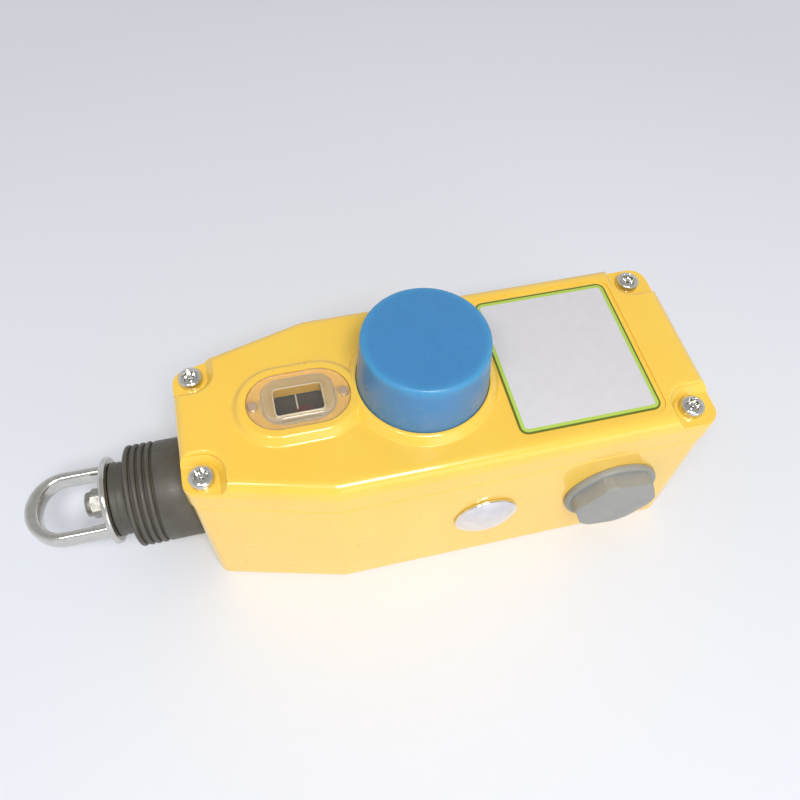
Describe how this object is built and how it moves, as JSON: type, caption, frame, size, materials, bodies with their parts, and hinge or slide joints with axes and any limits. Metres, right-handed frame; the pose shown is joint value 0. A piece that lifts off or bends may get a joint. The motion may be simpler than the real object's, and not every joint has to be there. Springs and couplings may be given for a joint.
{
  "type": "rope pull switch",
  "caption": "Emergency rope pull switch: cast box with lid, reset button, window, swivelling pull eye and inner contact mechanism.",
  "frame": {"origin": "centre of the four fixing holes on the flat mounting back", "axes": "+Z out of the back towards the lid and the button; +X along the housing from the pull eye to the end cable entry; -Y out of the side with the domed plug"},
  "size_m": [0.2057, 0.073, 0.0841],
  "materials": {
    "yellow_paint": "gloss powder coat",
    "blue_plastic": "gloss, slightly translucent",
    "clear_plastic": "clear, see-through",
    "grey_plastic": "satin",
    "black_plastic": "satin",
    "block_plastic": "satin",
    "white_plastic": "satin",
    "gaiter_rubber": "matte",
    "seal_rubber": "matte",
    "bright_metal": "bright nickel plate",
    "steel": "satin",
    "zinc_steel": "bright zinc plate",
    "bronze": "satin sintered bronze",
    "label_foil": "satin foil"
  },
  "bodies": {
    "housing": {"housing_base": "yellow_paint", "lid": "yellow_paint", "lid_gasket": "seal_rubber", "lid_screws": "bright_metal", "button_bush": "bronze", "button_spring": "steel", "stem_seal": "seal_rubber", "window_lens": "clear_plastic", "window_gasket": "clear_plastic", "window_pegs": "grey_plastic", "label_plate": "label_foil", "gaiter": "gaiter_rubber", "shaft_bush": "bronze", "shaft_wiper": "seal_rubber", "main_spring": "steel", "rear_guide": "bronze", "chassis": "zinc_steel", "chassis_screws": "zinc_steel", "latch_pivot": "steel", "pivot_clips": "zinc_steel", "latch_spring": "steel", "contact_block_left": "block_plastic", "contact_block_right": "block_plastic", "block_screws": "zinc_steel", "terminal_screws": "zinc_steel", "earth_screw": "bronze", "conduit_plug_front": "grey_plastic", "conduit_plug_rear": "grey_plastic", "plug_seals": "seal_rubber", "dome_plug": "bright_metal", "dome_nut": "zinc_steel"},
    "shaft": {"tension_shaft": "steel", "gaiter_washer": "bright_metal", "swivel_spacer": "black_plastic", "eye_nut": "bright_metal", "spring_collar": "zinc_steel", "collar_pin": "steel", "indicator_arm": "zinc_steel", "indicator_flag": "black_plastic", "wedge_cam": "steel", "cam_pin": "steel"},
    "eye": {"pull_eye": "bright_metal"},
    "button": {"reset_button": "blue_plastic", "button_stem": "steel", "stem_clip": "zinc_steel"},
    "latch": {"latch_lever": "zinc_steel"},
    "plunger_left": {"contact_plunger_left": "white_plastic"},
    "plunger_right": {"contact_plunger_right": "white_plastic"}
  },
  "joints": [
    {"name": "shaft_pull", "type": "slide", "parent": "housing", "child": "shaft", "axis": [-1, 0, 0], "range_m": [0, 0.014], "stiffness_N_per_m": 6000, "springref_m": -0.01, "deforming": ["gaiter", "main_spring"]},
    {"name": "eye_swivel", "type": "hinge", "parent": "shaft", "child": "eye", "pos_m": [-0.1015, 0, 0.028], "axis": [-1, 0, 0], "continuous": true},
    {"name": "reset_press", "type": "slide", "parent": "housing", "child": "button", "axis": [0, 0, -1], "range_m": [0, 0.004], "stiffness_N_per_m": 1500, "springref_m": -0.004, "deforming": ["button_spring"]},
    {"name": "latch_swing", "type": "hinge", "parent": "housing", "child": "latch", "pos_m": [0.01, 0, 0.046], "axis": [0, -1, 0], "range_deg": [0, 16.1]},
    {"name": "plunger_left_slide", "type": "slide", "parent": "housing", "child": "plunger_left", "axis": [0, 1, 0], "range_m": [0, 0.0029]},
    {"name": "plunger_right_slide", "type": "slide", "parent": "housing", "child": "plunger_right", "axis": [0, -1, 0], "range_m": [0, 0.0029]}
  ],
  "couplings": [
    {"joint": "latch_swing", "follows": "reset_press", "rad_per_m": 69.93},
    {"joint": "plunger_left_slide", "follows": "shaft_pull", "ratio": 0.2},
    {"joint": "plunger_right_slide", "follows": "shaft_pull", "ratio": 0.2}
  ]
}
